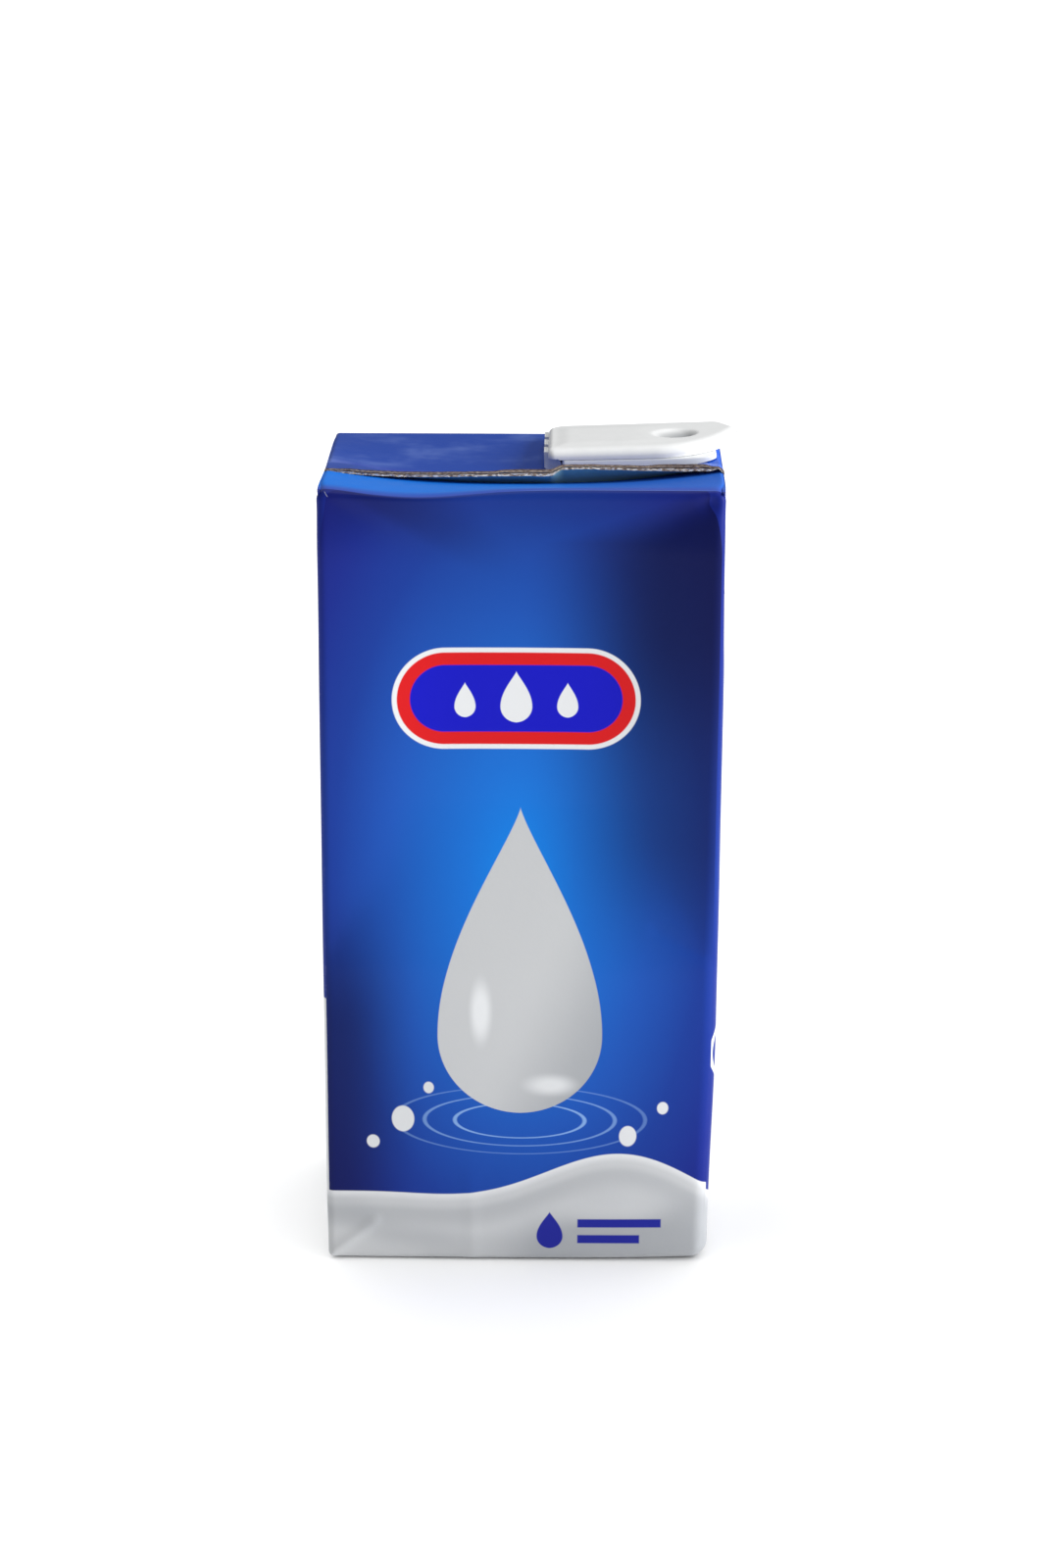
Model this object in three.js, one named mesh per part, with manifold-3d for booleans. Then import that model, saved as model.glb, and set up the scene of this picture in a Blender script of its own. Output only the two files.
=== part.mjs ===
import * as THREE from 'three';
import { mergeVertices } from 'three/addons/utils/BufferGeometryUtils.js';
import Module from 'manifold-3d';

// One-litre brick pack of laminated board with a white flip closure.
// Millimetres, +Z up, printed front facing -Y, standing on Z = 0.
const WIDTH = 90;
const DEPTH = 60;
const HEIGHT = 185;
const HALF_WIDTH = WIDTH / 2;
const HALF_DEPTH = DEPTH / 2;

// Folded flaps under the pack and on its two sides.
const FOOT = 0.35;
const FLAP_TIP_X = 15;
const FLAP_TIP_HALF = 3;
const FLAP_ROOT_HALF = 25;
const EAR_THICKNESS = 0.4;
const EAR_HEIGHT = HALF_DEPTH;
const EAR_TIP_HALF = 2.2;
const EAR_TIP_LIFT = 2;
const EAR_TOP_DROP = 0.3;
const EAR_BLEND = 3.5;
const FLAP_ROOT_X = 40;

// How deep a folded layer is set into the board behind it.
const LAYER_ROOT = 0.8;

// Soft edges: nearly sharp at the top, rounder along the front rim and towards the foot.
const TOP_RADIUS = 0.9;
const RIM_RADIUS = 2.4;
const RIM_TIGHT_RADIUS = 1.1;
const FOOT_RADIUS = { frontLeft: 1.5, frontRight: 4.2, backLeft: 3.2, backRight: 2 };

// Front and back panels: a belly pushed out by the milk, and a hollow above it.
const BELLY = 2.35;
const BELLY_TOP = 112;
const HOLLOW = 5;
const HOLLOW_SIDE = 27;
const HOLLOW_TOP = 15;
const HOLLOW_LOW = 74;
const HOLLOW_FADE = 44;

// Front rim: set back from the panel, low and tight left of the middle.
const RIM_BACK = 2.4;
const RIM_REACH = 14;
const RIM_FLAT = 4;
const RIM_SAG = 1;
const RIM_SAG_REACH = 12;
const RIM_ROUND_REACH = { from: HALF_DEPTH - 12, to: HALF_DEPTH - 3 };
const RIM_DIP_X = -22.5;
const RIM_DIP_WIDE = 16.5;
const BACK_FLARE = 0.6;
const BACK_FLARE_REACH = 7;

// Side panels, and the top sunk towards its seam.
const LEFT_BULGE = 1.4;
const LEFT_BULGE_SPAN = { from: 0, full: 16, fade: 60, to: 165 };
const RIGHT_BULGE = 0.95;
const RIGHT_BULGE_SPAN = { from: 15, full: 90, fade: 140, to: 170 };
const EAR_PRESS_SPAN = { from: 140, full: 170, fade: 180, to: HEIGHT };
const EAR_PRESS = { left: 0.9, right: 0.5 };
const FOOT_TUCK = 1;
const FOOT_TUCK_TOP = 60;
const TOP_PULL = 0.6;
const TOP_PULL_LOW = 150;
const TOP_PULL_BACK = -4;
const TOP_SINK = 4.6;
const TOP_SINK_REACH = 4;

// Sealed fin across the top, folded to the front and carried down both ears.
const FIN_HEIGHT = 8;
const FIN_THICKNESS = 1.2;
const FIN_END_THICKNESS = 0.55;
const FIN_GAPE = 0.4;
const FIN_BITE = 0.35;
const EAR_FIN_BITE = 0.2;
const FIN_ROOT = 0.6;
const FIN_CORNER = 0.9;
const FIN_END_INSET = 0.7;
const FIN_END_BLEND = 5;
const FIN_TIP_LIFT = 3;
const FIN_LOW_ANGLE = 2.5;
const FIN_RISE = 24.2;
const FIN_STEP = 10.8;
const FIN_STEP_FROM = 6.2;
const FIN_STEP_TO = 9.2;
const FIN_FALL = 28;
const FIN_FALL_FROM = 12;
const FIN_FALL_TO = 42;
const FIN_OPEN = { from: -46, full: -37, fade: 40, to: 45 };
const FIN_GAPE_LEFT = { from: -8, full: -1, fade: 6, to: 9.5 };
const FIN_GAPE_RIGHT = { from: 27, full: 33, fade: 40, to: 44 };

// Lengthwise seam on the back.
const SEAM_WIDTH = 8;
const SEAM_STEP = 0.5;
const SEAM_X = 18;
const SEAM_LOW = 4.5;
const SEAM_HIGH = HEIGHT - 2.3;

// Closure on the back right of the top, its tip drawing the whole outline to the right.
const OUTLINE_CENTRE = 1.4;
const CAP_CENTRE = new THREE.Vector3(25, 14.5, 185.4);
const CAP_RISE_RIGHT = 1.6;
const CAP_RISE_BACK = 1.7;
const CAP_HALF_DEPTH = 11.4;
const CAP_LEFT = -20.3;
const CAP_SHOULDER = 5;
const BASE_DEPTH = 9;
const BASE_LEFT = -16.2;
const BASE_CORNER = 0.6;
const BASE_SHOULDER_PULL = 15.5;
const BASE_TIP = 18.9;
const BASE_NOSE = 8.5;
const LID_LEFT = -19.4;
const LID_FRONT_CORNER = 1.6;
const LID_BACK_CORNER = 4.5;
const LID_BACK_SHOULDER = 19.2;
const LID_TIP = 24.2;
const LID_TIP_FRONT = 3;
const LID_TIP_BACK = 4.2;
const LID_SHOULDER_PULL = 13.5;
const LID_TIP_PULL = { x: 3.8, y: 8.5 };
const LID_UNDERCUT = 20.2;
const LID_THICKNESS = 2.9;
const LID_WEDGE = 0.5;
const LID_ROUND = 1.1;
const LID_FRONT_ROUND = { wide: 3.4, tall: 1.9 };
const LID_TIP_EDGE = 0.2;
const SCOOP_CENTRE = { x: 9.5, y: 1 };
const SCOOP_HALF = { x: 5.6, y: 4.3 };
const SCOOP_DEPTH = 1.9;
const HINGE_RADIUS = 4;
const HINGE_DROP = 2.3;
const HINGE_LUG = 4.4;
const LUG_INSET = 2.4;
const LUG_WEB = { reach: 2, top: -0.4 };
const FIT_GAP = 0.3;

const { clamp, degToRad, lerp, smoothstep } = THREE.MathUtils;
const wasm = await Module();
wasm.setup();

function solidOf(geometry) {
  const bare = geometry.clone();
  bare.deleteAttribute('normal');
  bare.deleteAttribute('uv');
  const welded = mergeVertices(bare, 1e-4);
  const mesh = new wasm.Mesh({
    numProp: 3,
    vertProperties: new Float32Array(welded.attributes.position.array),
    triVerts: new Uint32Array(welded.index.array),
  });
  return new wasm.Manifold(mesh);
}

function geometryOf(solid) {
  const mesh = solid.getMesh();
  const geometry = new THREE.BufferGeometry();
  geometry.setAttribute('position', new THREE.BufferAttribute(new Float32Array(mesh.vertProperties), 3));
  geometry.setIndex(new THREE.BufferAttribute(new Uint32Array(mesh.triVerts), 1));
  geometry.computeVertexNormals();
  return geometry;
}

// Moves every corner of a geometry by a function of its place.
function shaped(geometry, place) {
  const spots = geometry.attributes.position;
  const spot = new THREE.Vector3();
  for (let i = 0; i < spots.count; i += 1) {
    spot.fromBufferAttribute(spots, i);
    const moved = place(spot);
    spots.setXYZ(i, moved.x, moved.y, moved.z);
  }
  return geometry;
}

// 0 outside a span, 1 along its full part.
function within(value, { from, full, fade, to }) {
  return smoothstep(value, from, full) * (1 - smoothstep(value, fade, to));
}

function arch(share, power) {
  return 1 - Math.min(1, Math.abs(share)) ** power;
}

// Share of the low, tight part of the front rim.
function rimDip(x) {
  return Math.exp(-(((x - RIM_DIP_X) / RIM_DIP_WIDE) ** 2));
}

function edgeRadius(x, y, z) {
  const across = clamp(x / WIDTH + 0.5, 0, 1) ** 5;
  const front = lerp(FOOT_RADIUS.frontLeft, FOOT_RADIUS.frontRight, across);
  const back = lerp(FOOT_RADIUS.backLeft, FOOT_RADIUS.backRight, across);
  const foot = lerp(front, back, clamp(y / DEPTH + 0.5, 0, 1));
  const frontRim = lerp(RIM_RADIUS, RIM_TIGHT_RADIUS, rimDip(x));
  const rim = lerp(TOP_RADIUS, frontRim, smoothstep(-y, RIM_ROUND_REACH.from, RIM_ROUND_REACH.to));
  return lerp(foot, rim, clamp(z / HEIGHT, 0, 1) ** 0.8);
}

// Rounds the edges of the plain box.
function soften(spot) {
  const radius = edgeRadius(spot.x, spot.y, spot.z);
  const inner = new THREE.Vector3(
    clamp(spot.x, radius - HALF_WIDTH, HALF_WIDTH - radius),
    clamp(spot.y, radius - HALF_DEPTH, HALF_DEPTH - radius),
    clamp(spot.z, FOOT + radius, HEIGHT - radius),
  );
  const out = spot.clone().sub(inner);
  return inner.add(out.setLength(radius));
}

// The least of several shares, with the folds between them rounded.
function softLeast(shares) {
  if (Math.min(...shares) <= 0) {
    return 0;
  }
  const sum = shares.reduce((total, share) => total + share ** -6, 0);
  return sum ** (-1 / 6);
}

// Outward push of the front and back panels: belly below, hollow above.
function facePush(x, z) {
  const belly = arch(x / HALF_WIDTH, 2.4) * Math.sin(Math.PI * clamp(z / BELLY_TOP, 0, 1) ** 0.8);
  const hollow = softLeast([
    (HALF_WIDTH - Math.abs(x)) / HOLLOW_SIDE,
    (HEIGHT - z) / HOLLOW_TOP,
    (z - HOLLOW_LOW) / HOLLOW_FADE,
    1,
  ]);
  return BELLY * belly - HOLLOW * hollow;
}

function rimLean(x, z) {
  return -RIM_BACK * (1 - rimDip(x)) * smoothstep(z, HEIGHT - RIM_REACH, HEIGHT);
}

function backFlare(x, z) {
  return BACK_FLARE * arch(x / HALF_WIDTH, 2) * smoothstep(z, HEIGHT - BACK_FLARE_REACH, HEIGHT);
}

// Outward push of the left or right panel, pressed in under the ears.
function sidePush(side, y, z) {
  const left = LEFT_BULGE * within(z, LEFT_BULGE_SPAN);
  const right = RIGHT_BULGE * within(z, RIGHT_BULGE_SPAN);
  const press = (side < 0 ? EAR_PRESS.left : EAR_PRESS.right) * within(z, EAR_PRESS_SPAN);
  const pull = TOP_PULL * smoothstep(z, TOP_PULL_LOW, HEIGHT) * smoothstep(y, -HALF_DEPTH, TOP_PULL_BACK);
  const inward = side < 0 ? pull : FOOT_TUCK * (1 - smoothstep(z, 0, FOOT_TUCK_TOP));
  return arch(y / HALF_DEPTH, 2.2) * ((side < 0 ? left : right) - press) - inward;
}

function topSink(x, y) {
  const rim = y < 0 ? HALF_DEPTH - RIM_FLAT : HALF_DEPTH;
  return TOP_SINK * arch(x / HALF_WIDTH, 2.5) * arch(y / rim, 1);
}

function rimSag(x, y, z) {
  const nearFront = smoothstep(-y, HALF_DEPTH - RIM_REACH, HALF_DEPTH);
  return RIM_SAG * rimDip(x) * nearFront * smoothstep(z, HEIGHT - RIM_SAG_REACH, HEIGHT);
}

// Gives the box its filled shape.
function swell({ x, y, z }) {
  const front = facePush(x, z) + rimLean(x, z);
  const back = facePush(x, z) + backFlare(x, z);
  const near = smoothstep(z, HEIGHT - TOP_SINK_REACH, HEIGHT);
  return new THREE.Vector3(
    x + (x / HALF_WIDTH) * sidePush(Math.sign(x), y, z),
    y + (y / HALF_DEPTH) * (y < 0 ? front : back),
    z - near * topSink(x, y) - rimSag(x, y, z),
  );
}

// Draws evenly spaced grid lines towards both ends of a span.
function crowded(value, half) {
  const share = clamp(value / half, -1, 1);
  return Math.sign(share) * half * (1 - (1 - Math.abs(share)) ** 1.8);
}

function buildBody() {
  const tall = HEIGHT - FOOT;
  const box = new THREE.BoxGeometry(WIDTH, DEPTH, tall, 26, 14, 34);
  return shaped(box, (spot) => {
    const gathered = new THREE.Vector3(
      crowded(spot.x, HALF_WIDTH),
      crowded(spot.y, HALF_DEPTH),
      crowded(spot.z, tall / 2) + FOOT + tall / 2,
    );
    return swell(soften(gathered));
  });
}

// Triangular ear folded down against one side, its tip pointing to the foot.
function buildEar(side) {
  const low = HEIGHT - EAR_HEIGHT + EAR_TIP_LIFT;
  const tall = HEIGHT - EAR_TOP_DROP - low;
  const plate = new THREE.BoxGeometry(1, 1, 1, 1, 8, 6);
  return shaped(plate, (spot) => {
    const up = spot.z + 0.5;
    const z = low + tall * up;
    const half = lerp(EAR_TIP_HALF, HALF_DEPTH - TOP_RADIUS, up);
    const outer = EAR_THICKNESS * smoothstep(HEIGHT - z, 0, EAR_BLEND) + 0.05;
    const x = HALF_WIDTH + lerp(-LAYER_ROOT, outer, side * spot.x + 0.5);
    const flat = new THREE.Vector3(x * side, spot.y * 2 * half, z);
    return swell(flat);
  });
}

// Angle of the folded fin above the level, along the width of the pack.
function finAngle(x) {
  const left = clamp((x + HALF_WIDTH) / HALF_WIDTH, 0, 1) ** 1.1;
  const swing = FIN_LOW_ANGLE + FIN_RISE * Math.sin((Math.PI / 2) * left);
  const step = FIN_STEP * smoothstep(x, FIN_STEP_FROM, FIN_STEP_TO);
  const fall = FIN_FALL * clamp((x - FIN_FALL_FROM) / (FIN_FALL_TO - FIN_FALL_FROM), 0, 1) ** 1.5;
  return degToRad(swing + step - fall);
}

// The sealed layers are pressed thin at both ends and gape in two places between.
function finThickness(x) {
  const gape = FIN_GAPE * (within(x, FIN_GAPE_LEFT) + within(x, FIN_GAPE_RIGHT));
  return lerp(FIN_END_THICKNESS, FIN_THICKNESS, within(x, FIN_OPEN)) + gape;
}

// A point of the fold line: down the left ear, across the top and down the right ear.
function foldLine(along) {
  const side = Math.sign(along) || 1;
  const reach = HALF_WIDTH + EAR_THICKNESS - FIN_CORNER - FIN_END_INSET;
  const turn = clamp((Math.abs(along) - reach) / FIN_CORNER, 0, Math.PI / 2);
  const over = Math.max(0, Math.abs(along) - reach - FIN_CORNER * (Math.PI / 2));
  const flat = Math.min(Math.abs(along), reach);
  const x = side * (flat + FIN_CORNER * Math.sin(turn));
  const z = HEIGHT - FIN_CORNER * (1 - Math.cos(turn)) - over;
  const out = FIN_END_INSET * smoothstep(over, 0, FIN_END_BLEND);
  const push = (sidePush(side, 0, z) + out) * Math.sin(turn);
  const spot = new THREE.Vector3(x + side * push, 0, z - topSink(x, 0));
  return { spot, facing: new THREE.Vector3(side * Math.sin(turn), 0, Math.cos(turn)), turn };
}

function buildFin() {
  const half = HALF_WIDTH + EAR_THICKNESS + EAR_HEIGHT - FIN_TIP_LIFT;
  const ribbon = new THREE.BoxGeometry(2 * half, 1, 1, 84, 3, 1);
  return shaped(ribbon, ({ x, y, z }) => {
    const { spot, facing, turn } = foldLine(x);
    const down = turn / (Math.PI / 2);
    const angle = finAngle(spot.x) * (1 - down);
    const reach = lerp(-FIN_ROOT, FIN_HEIGHT, 0.5 - y);
    const lift = (z + 0.5) * finThickness(spot.x) - lerp(FIN_BITE, EAR_FIN_BITE, down);
    const forward = lift * Math.sin(angle) - reach * Math.cos(angle);
    const rise = lift * Math.cos(angle) + reach * Math.sin(angle);
    return spot.clone().addScaledVector(facing, rise).add(new THREE.Vector3(0, forward, 0));
  });
}

// Flap folded under the foot on one side.
function buildFlap(side) {
  const plate = new THREE.BoxGeometry(1, 1, 1, 1, 1, 1);
  return shaped(plate, (spot) => {
    const out = side * spot.x + 0.5;
    const half = lerp(FLAP_TIP_HALF, FLAP_ROOT_HALF, out);
    const z = (spot.z + 0.5) * (FOOT + LAYER_ROOT);
    return new THREE.Vector3(side * lerp(FLAP_TIP_X, FLAP_ROOT_X, out), spot.y * 2 * half, z);
  });
}

function buildSeam() {
  const strip = new THREE.BoxGeometry(SEAM_WIDTH, 1, SEAM_HIGH - SEAM_LOW, 3, 1, 34);
  return shaped(strip, (spot) => {
    const z = spot.z + (SEAM_LOW + SEAM_HIGH) / 2;
    const flat = swell(new THREE.Vector3(SEAM_X + spot.x, HALF_DEPTH, z));
    flat.y += lerp(-LAYER_ROOT, SEAM_STEP, spot.y + 0.5);
    return flat;
  });
}

function buildCarton() {
  const folds = [buildEar(-1), buildEar(1), buildFin(), buildFlap(-1), buildFlap(1), buildSeam()];
  return folds.reduce((whole, fold) => whole.add(solidOf(fold)), solidOf(buildBody()));
}

// Plan of the closure's base: square at the hinge, rounded off to a blunt nose on the right.
function basePlan() {
  const half = CAP_HALF_DEPTH;
  const bend = lerp(BASE_NOSE, half, 0.8);
  const plan = new THREE.Shape();
  plan.moveTo(BASE_LEFT + BASE_CORNER, -half);
  plan.lineTo(CAP_SHOULDER, -half);
  plan.bezierCurveTo(BASE_SHOULDER_PULL, -half, BASE_TIP - BASE_CORNER, -bend, BASE_TIP, -BASE_NOSE);
  plan.lineTo(BASE_TIP, BASE_NOSE);
  plan.bezierCurveTo(BASE_TIP - BASE_CORNER, bend, BASE_SHOULDER_PULL, half, CAP_SHOULDER, half);
  plan.lineTo(BASE_LEFT + BASE_CORNER, half);
  plan.quadraticCurveTo(BASE_LEFT, half, BASE_LEFT, half - BASE_CORNER);
  plan.lineTo(BASE_LEFT, BASE_CORNER - half);
  plan.quadraticCurveTo(BASE_LEFT, -half, BASE_LEFT + BASE_CORNER, -half);
  return plan;
}

// The three hinge lugs along the closure's left end.
const LUG_OUTER = CAP_HALF_DEPTH - LUG_INSET - HINGE_LUG / 2;
const LUG_CENTRES = [-LUG_OUTER, 0, LUG_OUTER];

function hingeRound(radius, low, high) {
  const rod = new THREE.CylinderGeometry(radius, radius, high - low, 32);
  rod.translate(CAP_LEFT, (low + high) / 2, -HINGE_DROP);
  return solidOf(rod);
}

function block(low, high) {
  const size = high.clone().sub(low);
  const box = new THREE.BoxGeometry(size.x, size.y, size.z);
  box.translate(low.x + size.x / 2, low.y + size.y / 2, low.z + size.z / 2);
  return solidOf(box);
}

// A quarter round that the lid turns about, with a web to the base behind it.
function buildLug(centre) {
  const low = centre - HINGE_LUG / 2;
  const high = centre + HINGE_LUG / 2;
  const room = block(
    new THREE.Vector3(CAP_LEFT, low - 1, -BASE_DEPTH),
    new THREE.Vector3(CAP_LEFT + 2 * HINGE_RADIUS, high + 1, HINGE_RADIUS),
  );
  const web = block(
    new THREE.Vector3(CAP_LEFT + LUG_WEB.reach, low, -BASE_DEPTH),
    new THREE.Vector3(BASE_LEFT + LUG_WEB.reach, high, LUG_WEB.top),
  );
  return hingeRound(HINGE_RADIUS, low, high).intersect(room).add(web);
}

function buildCapBase() {
  const options = { depth: BASE_DEPTH, bevelEnabled: false, curveSegments: 12 };
  const body = new THREE.ExtrudeGeometry(basePlan(), options);
  body.translate(0, 0, -BASE_DEPTH);
  return LUG_CENTRES.reduce((whole, centre) => whole.add(buildLug(centre)), solidOf(body));
}

// How far a rounded corner at the lid's left end stands in from the straight side.
function cornerCut(x, radius) {
  const into = clamp(LID_LEFT + radius - x, 0, radius);
  return radius - Math.sqrt(radius ** 2 - into ** 2);
}

const LID_CURVE = new THREE.CubicBezierCurve(
  new THREE.Vector2(CAP_SHOULDER, -CAP_HALF_DEPTH),
  new THREE.Vector2(LID_SHOULDER_PULL, -CAP_HALF_DEPTH),
  new THREE.Vector2(LID_TIP - LID_TIP_PULL.x, LID_TIP_FRONT - LID_TIP_PULL.y),
  new THREE.Vector2(LID_TIP, LID_TIP_FRONT),
);

// The lid's long front edge, curved from the shoulder to the tip.
function lidFront(x) {
  if (x <= CAP_SHOULDER) {
    return cornerCut(x, LID_FRONT_CORNER) - CAP_HALF_DEPTH;
  }
  let low = 0;
  let high = 1;
  for (let i = 0; i < 24; i += 1) {
    const middle = (low + high) / 2;
    if (LID_CURVE.getPoint(middle).x < x) {
      low = middle;
    } else {
      high = middle;
    }
  }
  return LID_CURVE.getPoint(low).y;
}

function lidBack(x) {
  if (x <= LID_BACK_SHOULDER) {
    return CAP_HALF_DEPTH - cornerCut(x, LID_BACK_CORNER);
  }
  const share = (x - LID_BACK_SHOULDER) / (LID_TIP - LID_BACK_SHOULDER);
  return lerp(CAP_HALF_DEPTH, LID_TIP_BACK, share ** 1.2);
}

// How far a rounded edge falls at a depth in from the outline.
function edgeDrop(depth, wide, tall) {
  const into = clamp(1 - depth / wide, 0, 1);
  return tall * (1 - Math.sqrt(1 - into * into));
}

// Thumb scoop, deepest at its right front end.
function scoopDepth(x, y) {
  const across = (x - SCOOP_CENTRE.x) / SCOOP_HALF.x;
  const along = (y - SCOOP_CENTRE.y) / SCOOP_HALF.y;
  const bowl = 1 - across * across - along * along;
  const lean = clamp(0.55 + 0.38 * across - 0.3 * along, 0, 1);
  return SCOOP_DEPTH * smoothstep(bowl, 0, 0.75) * lean;
}

function lidTop(x, y) {
  const step = 0.1;
  const slope = x > CAP_SHOULDER ? (lidFront(x + step) - lidFront(x - step)) / (2 * step) : 0;
  const fromFront = (y - lidFront(x)) / Math.sqrt(1 + slope * slope);
  const inward = Math.min(lidBack(x) - y, x - LID_LEFT, 0.75 * (LID_TIP - x) + LID_TIP_EDGE);
  const sideDrop = edgeDrop(inward, LID_ROUND, LID_ROUND);
  const frontDrop = edgeDrop(fromFront, LID_FRONT_ROUND.wide, LID_FRONT_ROUND.tall);
  const level = LID_THICKNESS + x * Math.sin(degToRad(LID_WEDGE));
  return level - scoopDepth(x, y) - Math.max(sideDrop, frontDrop);
}

function buildCapLid() {
  const slab = shaped(new THREE.BoxGeometry(1, 1, 1, 34, 20, 2), (spot) => {
    const x = lerp(LID_LEFT, LID_TIP, crowded(spot.x, 0.5) + 0.5);
    const y = lerp(lidFront(x), lidBack(x), crowded(spot.y, 0.5) + 0.5);
    const top = lidTop(x, y);
    const under = Math.min(FIT_GAP + Math.max(0, x - LID_UNDERCUT), top - LID_TIP_EDGE);
    return new THREE.Vector3(x, y, lerp(under, top, spot.z + 0.5));
  });
  const wide = HINGE_LUG / 2 + FIT_GAP;
  const outside = CAP_HALF_DEPTH + 1;
  const rooms = [[-outside, wide - LUG_OUTER], [-wide, wide], [LUG_OUTER - wide, outside]];
  return rooms.reduce(
    (whole, [low, high]) => whole.subtract(hingeRound(HINGE_RADIUS + FIT_GAP, low, high)),
    solidOf(slab),
  );
}

// Sets a closure piece on the sloping top.
function seated(geometry) {
  geometry.rotateY(degToRad(-CAP_RISE_RIGHT));
  geometry.rotateX(degToRad(CAP_RISE_BACK));
  geometry.translate(CAP_CENTRE.x, CAP_CENTRE.y, CAP_CENTRE.z);
  return geometry;
}

const carton = buildCarton();
const lid = seated(geometryOf(buildCapLid()));
const tallBase = solidOf(seated(geometryOf(buildCapBase())));
const base = geometryOf(tallBase.subtract(carton.translate([0, 0, FIT_GAP])));

const group = new THREE.Group();
group.name = 'milk_carton';
group.position.x = -OUTLINE_CENTRE;

function addNode(name, geometry, colour, roughness) {
  const material = new THREE.MeshStandardMaterial({ color: colour, roughness, metalness: 0 });
  const mesh = new THREE.Mesh(geometry, material);
  mesh.name = name;
  group.add(mesh);
}

addNode('carton', geometryOf(carton), 0x2347a3, 0.35);
addNode('cap_base', base, 0xe4e6e7, 0.4);
addNode('cap_lid', lid, 0xe9ebeb, 0.4);

export default group;
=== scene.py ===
import math
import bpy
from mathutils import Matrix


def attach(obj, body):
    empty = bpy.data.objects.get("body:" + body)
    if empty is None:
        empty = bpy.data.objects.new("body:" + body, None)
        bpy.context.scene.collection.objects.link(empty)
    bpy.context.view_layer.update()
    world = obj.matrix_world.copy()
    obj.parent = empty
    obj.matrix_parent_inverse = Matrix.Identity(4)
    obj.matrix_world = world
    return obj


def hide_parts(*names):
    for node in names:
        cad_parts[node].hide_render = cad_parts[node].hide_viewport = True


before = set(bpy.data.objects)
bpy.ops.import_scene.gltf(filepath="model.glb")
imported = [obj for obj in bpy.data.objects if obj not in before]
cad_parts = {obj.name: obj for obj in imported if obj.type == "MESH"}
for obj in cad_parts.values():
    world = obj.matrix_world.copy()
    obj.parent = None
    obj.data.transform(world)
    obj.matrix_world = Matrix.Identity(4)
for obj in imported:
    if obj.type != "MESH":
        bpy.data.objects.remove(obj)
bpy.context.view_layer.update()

from types import SimpleNamespace

import bmesh
import bpy
from mathutils import Matrix, Vector, noise

# Sizes are in millimetres and become metres where a piece is made.
MM = 0.001
WIDTH = 90
DEPTH = 60
HEIGHT = 185
HALF_WIDTH = WIDTH / 2
HALF_DEPTH = DEPTH / 2
FOOT = 0.35
GRID = (96, 64, 168)
GRID_CROWDING = 1.5

TOP_RADIUS = 0.9
RIM_RADIUS = 2.4
RIM_TIGHT_RADIUS = 1.1
FOOT_RADIUS = {"front_left": 1.5, "front_right": 4.2, "back_left": 3.2, "back_right": 2.0}

BELLY = 2.3
BELLY_TOP = 112
HOLLOW = 5.0
HOLLOW_SIDE = 27
HOLLOW_TOP = 15
HOLLOW_LOW = 74
HOLLOW_FADE = 44
RIM_BACK = 2.4
RIM_REACH = 14
RIM_FLAT = 4
RIM_SAG = 1.0
RIM_SAG_REACH = (14, 12)
RIM_ROUND_REACH = (12, 3)
RIM_DIP_X = -22.5
RIM_DIP_WIDE = 16.5
BACK_FLARE = 0.6
BACK_FLARE_REACH = 7
TOP_PULL = 0.6
TOP_PULL_LOW = 150
TOP_PULL_BACK = -4
LEFT_BULGE = 1.4
LEFT_BULGE_SPAN = (0, 16, 60, 165)
RIGHT_BULGE = 0.95
RIGHT_BULGE_SPAN = (15, 90, 140, 170)
EAR_PRESS = {-1: 0.9, 1: 0.5}
EAR_PRESS_SPAN = (140, 170, 180, HEIGHT)
FOOT_TUCK = 1.0
FOOT_TUCK_TOP = 60
TOP_SINK = 4.6
TOP_SINK_REACH = 4

# Creases of the front: how far out, where from, where to, how wide.
CREASES = (
    (0.5, (-46, 0), (-32, 12), 1.3),
    (-0.3, (29, 84.5), (46, 75), 0.9),
    (0.16, (-11, -3), (-11.5, 26), 1.4),
)
PINCH = -0.9
PINCH_PLACE = (41.5, 182.4)
PINCH_WIDE = 2.0
WAVINESS = 0.16
WAVE_SPAN = 34

EAR_HEIGHT = 30
EAR_TIP_LIFT = 2
EAR_TOP_DROP = 0.3
EAR_BLEND = 3.5
LAYER_ROOT = 0.8
EAR_TIP_HALF = 2.2
EAR_THICKNESS = 0.4
FLAP_TIP = 15
FLAP_ROOT = 40
FLAP_TIP_HALF = 3
FLAP_ROOT_HALF = 25

FIN_HEIGHT = 8
FIN_THICKNESS = 1.2
FIN_GAPE = 0.4
FIN_OPEN = (-46, -37, 40, 45)
FIN_GAPE_LEFT = (-8, -1, 6, 9.5)
FIN_GAPE_RIGHT = (27, 33, 40, 44)
FIN_END_THICKNESS = 0.55
FIN_LAYER = 0.46
FIN_BITE = 0.35
EAR_FIN_BITE = 0.2
FIN_CORNER = 0.9
FIN_END_INSET = 0.7
FIN_END_BLEND = 5
FIN_RAGGED = 0.22
FIN_ROOT = 0.6
FIN_TIP_LIFT = 3
FIN_LOW_ANGLE = 2.5
FIN_RISE = 24.2
FIN_STEP = 10.8
FIN_STEP_SPAN = (6.2, 9.2)
FIN_FALL = 28
FIN_FALL_SPAN = (12, 42)

SEAM_WIDTH = 8
SEAM_STEP = 0.5
SEAM_X = 18
SEAM_LOW = 4.5
SEAM_HIGH = HEIGHT - 2.3
SEAM_ROOT = 0.7

# The lid's tip draws the middle of the whole outline to the right.
OUTLINE_CENTRE = Vector((1.4, 0, 0))

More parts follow.
